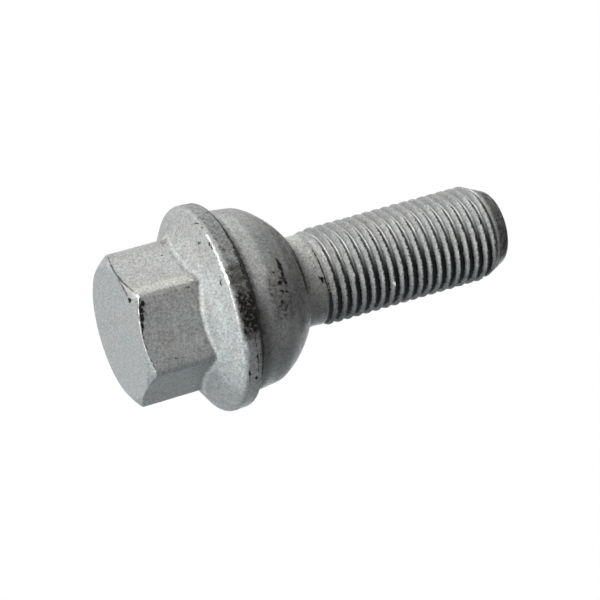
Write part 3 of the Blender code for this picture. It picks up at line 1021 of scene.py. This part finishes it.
def zinc_flake():
    """Dull zinc-flake coating with a fine grain, bare thread grooves, dark specks and worn edges,
    and painted light, shade and highlights.
    """
    coat = Coating("zinc_flake")
    grain = coat.noise(*GRAIN)
    patches = coat.noise(*PATCHES)
    clouds = coat.noise(*CLOUDS)
    fine_tone = coat.calc("MULTIPLY", grain, GRAIN_SHARE)
    tone = coat.calc("ADD", fine_tone, coat.calc("MULTIPLY", patches, 1 - GRAIN_SHARE))
    colour = coat.mix(coat.remap(tone, *TONE_RANGE), DEEP_GREY, PALE_GREY)
    # The pale value: mostly painted light, and the truly paler strip where the thread starts
    pale_patches = coat.remap(patches, *NOISE_RANGE, *PALE_UNEVENNESS)
    pale = coat.calc("MULTIPLY", coat.attribute("pale"), pale_patches)
    colour = coat.mix(pale, colour, coat.multiply(colour, PALE_AND_LIT_GAIN))
    tint = coat.mix(coat.remap(clouds, *TINT_RANGE), COOL_TINT, WARM_TINT)
    colour = coat.multiply(colour, tint)
    stain = coat.speckled(coat.attribute("stain"), patches, *STAIN_SPECKLES)
    colour = coat.mix(coat.calc("MULTIPLY", stain, STAIN_COVER), colour, STAIN_BROWN)
    smears = coat.noise(*SMEARS)
    # Dirt, and painted shade in creases and on lower sides, darken the coating
    grime_and_shade = coat.speckled(coat.attribute("grime_and_shade"), smears, *GRIME_AND_SHADE_SPECKLES)
    colour = coat.mix(coat.calc("MULTIPLY", grime_and_shade, GRIME_AND_SHADE_COVER), colour, GRIME_AND_SHADE_BROWN)
    edge_grain = coat.noise(*EDGE_GRAIN)
    bare = coat.ragged(coat.attribute("bare"), edge_grain, *BARE_EDGE)
    gloom = coat.attribute("gloom")
    # Bare rolled steel in the grooves, darkened to near black by painted shade where gloom is high
    colour = coat.mix(bare, colour, coat.mix(gloom, ROLLED_STEEL, SHADED_STEEL))
    specks = coat.noise(*SPECKS)
    # Black dirt specks, and painted shadow and shade lines behind the rim and at the ball's end
    soil_and_shade = coat.speckled(coat.attribute("soil_and_shade"), specks, *SOIL_AND_SHADE_SPECKLES)
    colour = coat.mix(soil_and_shade, colour, SOIL_AND_SHADE_BLACK)
    # Bright worn metal, partly a painted highlight on edges and crests
    wear_and_highlight = coat.speckled(coat.attribute("wear_and_highlight"), edge_grain, *WEAR_AND_HIGHLIGHT_SPECKLES)
    colour = coat.mix(wear_and_highlight, colour, WORN_METAL_AND_HIGHLIGHT)
    coat.feed(coat.shader.inputs["Base Color"], colour)
    rolled = coat.calc("MULTIPLY", bare, coat.calc("SUBTRACT", 1.0, gloom))
    metal = coat.mix_number(rolled, COATING_METALNESS, STEEL_METALNESS)
    coat.feed(coat.shader.inputs["Metallic"], coat.mix_number(wear_and_highlight, metal, STEEL_METALNESS))
    rough = coat.remap(grain, *NOISE_RANGE, *COATING_ROUGHNESS)
    rough = coat.mix_number(rolled, rough, ROLLED_ROUGHNESS)
    rough = coat.mix_number(coat.calc("MAXIMUM", grime_and_shade, soil_and_shade), rough, DIRT_ROUGHNESS)
    coat.feed(coat.shader.inputs["Roughness"], coat.mix_number(wear_and_highlight, rough, WORN_ROUGHNESS))
    coat.shader.inputs["Specular IOR Level"].default_value = SPECULAR_LEVEL
    fine = coat.bump(edge_grain, EDGE_GRAIN_DEPTH)
    coat.feed(coat.shader.inputs["Normal"], coat.bump(tone, TONE_DEPTH, fine))
    return coat.material


# The photograph's camera: its distance, its aim, its lens and its sensor in millimetres. The
# picture's right, up and toward-the-viewer directions are also what the lamps are placed by.
VIEW_AZIMUTH = radians(-81.0)
VIEW_ELEVATION = radians(-21.58)
VIEW_ROLL = radians(73.93)
VIEW_DISTANCE = 318.0
VIEW_AIM = Vector((0.242, 2.481, 26.638))
LENS = 136.7
SENSOR = 36.0


def view_axes():
    """Right, up and toward the viewer, for the photograph's camera."""
    toward = Vector((
        -sin(VIEW_AZIMUTH) * cos(VIEW_ELEVATION),
        -cos(VIEW_AZIMUTH) * cos(VIEW_ELEVATION),
        sin(VIEW_ELEVATION),
    ))
    level_right = Vector((0.0, 0.0, 1.0)).cross(toward).normalized()
    level_up = toward.cross(level_right)
    right = level_right * cos(VIEW_ROLL) + level_up * sin(VIEW_ROLL)
    up = level_up * cos(VIEW_ROLL) - level_right * sin(VIEW_ROLL)
    return right, up, toward


def place_like_camera(thing, right, up, toward, location):
    """Turns an object so that it looks along minus toward."""
    turn = Matrix((right, up, toward)).transposed().to_4x4()
    thing.matrix_world = Matrix.Translation(location) @ turn


def make_camera():
    """The camera of the photograph."""
    data = bpy.data.cameras.new("camera")
    data.lens = LENS
    data.sensor_width = SENSOR
    camera = bpy.data.objects.new("camera", data)
    bpy.context.scene.collection.objects.link(camera)
    right, up, toward = view_axes()
    place_like_camera(camera, right, up, toward, (VIEW_AIM + toward * VIEW_DISTANCE) * METRES)
    bpy.context.scene.camera = camera


WHITE = (1.0, 1.0, 1.0, 1.0)
WORLD_FILL = 0.04


def make_world():
    """White where the camera or a reflection looks past the bolt, and an even fill elsewhere."""
    world = bpy.data.worlds.new("studio")
    bpy.context.scene.world = world
    world.use_nodes = True
    nodes = world.node_tree.nodes
    links = world.node_tree.links
    background = nodes["Background"]
    path = nodes.new("ShaderNodeLightPath")
    seen = nodes.new("ShaderNodeMath")
    seen.operation = "MAXIMUM"
    links.new(path.outputs["Is Camera Ray"], seen.inputs[0])
    links.new(path.outputs["Is Transmission Ray"], seen.inputs[1])
    shiny = nodes.new("ShaderNodeMath")
    shiny.operation = "MAXIMUM"
    links.new(seen.outputs[0], shiny.inputs[0])
    links.new(path.outputs["Is Glossy Ray"], shiny.inputs[1])
    strength = nodes.new("ShaderNodeMapRange")
    strength.inputs["To Min"].default_value = WORLD_FILL
    strength.inputs["To Max"].default_value = 1.0
    links.new(shiny.outputs[0], strength.inputs["Value"])
    links.new(strength.outputs["Result"], background.inputs["Strength"])
    background.inputs["Color"].default_value = WHITE


# Floor, in metres: its half width, its gap below the bolt, and where it starts to turn white
# and is quite white. Its paleness is how white it already is near the bolt.
FLOOR_REACH = 2.0
FLOOR_GAP = 0.00005
FLOOR_NEAR = 0.07
FLOOR_FAR = 0.25
FLOOR_PALENESS = 0.55
FLOOR_GREY = (0.9, 0.9, 0.9, 1.0)


def make_floor():
    """A pale floor just under the bolt, seen only from above, so that it never hides the head.

    It keeps the bolt's shadow near the bolt and turns to the backdrop's white farther off.
    """
    sides = [(-1, -1), (1, -1), (1, 1), (-1, 1)]
    corners = [(x * FLOOR_REACH, y * FLOOR_REACH, -FLOOR_GAP) for x, y in sides]
    mesh = bpy.data.meshes.new("floor")
    mesh.from_pydata(corners, [], [(0, 1, 2, 3)])
    floor = bpy.data.objects.new("floor", mesh)
    bpy.context.scene.collection.objects.link(floor)
    material = bpy.data.materials.new("floor")
    material.use_nodes = True
    nodes = material.node_tree.nodes
    links = material.node_tree.links
    nodes.clear()
    path = nodes.new("ShaderNodeLightPath")
    geometry = nodes.new("ShaderNodeNewGeometry")
    above = nodes.new("ShaderNodeMath")
    above.operation = "SUBTRACT"
    above.use_clamp = True
    links.new(path.outputs["Is Camera Ray"], above.inputs[0])
    links.new(geometry.outputs["Backfacing"], above.inputs[1])
    distance = nodes.new("ShaderNodeVectorMath")
    distance.operation = "LENGTH"
    links.new(geometry.outputs["Position"], distance.inputs[0])
    fade = nodes.new("ShaderNodeMapRange")
    fade.interpolation_type = "SMOOTHSTEP"
    fade.inputs["From Min"].default_value = FLOOR_NEAR
    fade.inputs["From Max"].default_value = FLOOR_FAR
    fade.inputs["To Min"].default_value = FLOOR_PALENESS
    links.new(distance.outputs["Value"], fade.inputs["Value"])
    pale = nodes.new("ShaderNodeBsdfDiffuse")
    pale.inputs["Color"].default_value = FLOOR_GREY
    white = nodes.new("ShaderNodeEmission")
    toned = nodes.new("ShaderNodeMixShader")
    links.new(fade.outputs["Result"], toned.inputs["Fac"])
    links.new(pale.outputs[0], toned.inputs[1])
    links.new(white.outputs[0], toned.inputs[2])
    clear = nodes.new("ShaderNodeBsdfTransparent")
    mix = nodes.new("ShaderNodeMixShader")
    links.new(above.outputs[0], mix.inputs["Fac"])
    links.new(clear.outputs[0], mix.inputs[1])
    links.new(toned.outputs[0], mix.inputs[2])
    output = nodes.new("ShaderNodeOutputMaterial")
    links.new(mix.outputs[0], output.inputs["Surface"])
    mesh.materials.append(material)


# Lamps: direction by the photograph's right, up and toward-the-viewer, power in watts and
# colour. Size and distance are in metres.
LAMP_SIZE = 0.35
LAMP_DISTANCE = 0.6
LAMPS = {
    "key": ((-0.42, 0.68, 0.6), 2.1, (1.0, 1.0, 1.0)),
    "top": ((-0.25, 0.83, -0.49), 1.15, (1.0, 1.0, 1.0)),
    "left": ((-0.66, 0.1, 0.72), 1.15, (1.0, 1.0, 1.0)),
    "lower_left": ((-0.75, -0.26, 0.62), 0.92, (0.96, 0.98, 1.0)),
    "low": ((-0.59, -0.72, 0.37), 0.95, (0.81, 0.93, 1.0)),
    "back": ((0.2, -0.05, -0.98), 1.3, (1.0, 1.0, 1.0)),
    "low_back": ((0.3, -0.4, -0.87), 0.5, (0.81, 0.93, 1.0)),
    "above": ((0.89, 0.26, -0.37), 0.25, (1.0, 1.0, 1.0)),
}


def make_lamp(name, side, power, colour):
    """A soft square lamp that the camera doesn't see."""
    data = bpy.data.lights.new(name, "AREA")
    data.size = LAMP_SIZE
    data.energy = power
    data.color = colour
    lamp = bpy.data.objects.new(name, data)
    bpy.context.scene.collection.objects.link(lamp)
    lamp.visible_camera = False
    right, up, toward = view_axes()
    way = (right * side[0] + up * side[1] + toward * side[2]).normalized()
    lamp.location = VIEW_AIM * METRES + way * LAMP_DISTANCE
    lamp.rotation_mode = "QUATERNION"
    lamp.rotation_quaternion = way.to_track_quat("Z", "Y")


bpy.context.scene.view_settings.view_transform = "Standard"
make_bolt(zinc_flake())
make_camera()
make_world()
make_floor()
for lamp_name, (lamp_side, lamp_power, lamp_colour) in LAMPS.items():
    make_lamp(lamp_name, lamp_side, lamp_power, lamp_colour)
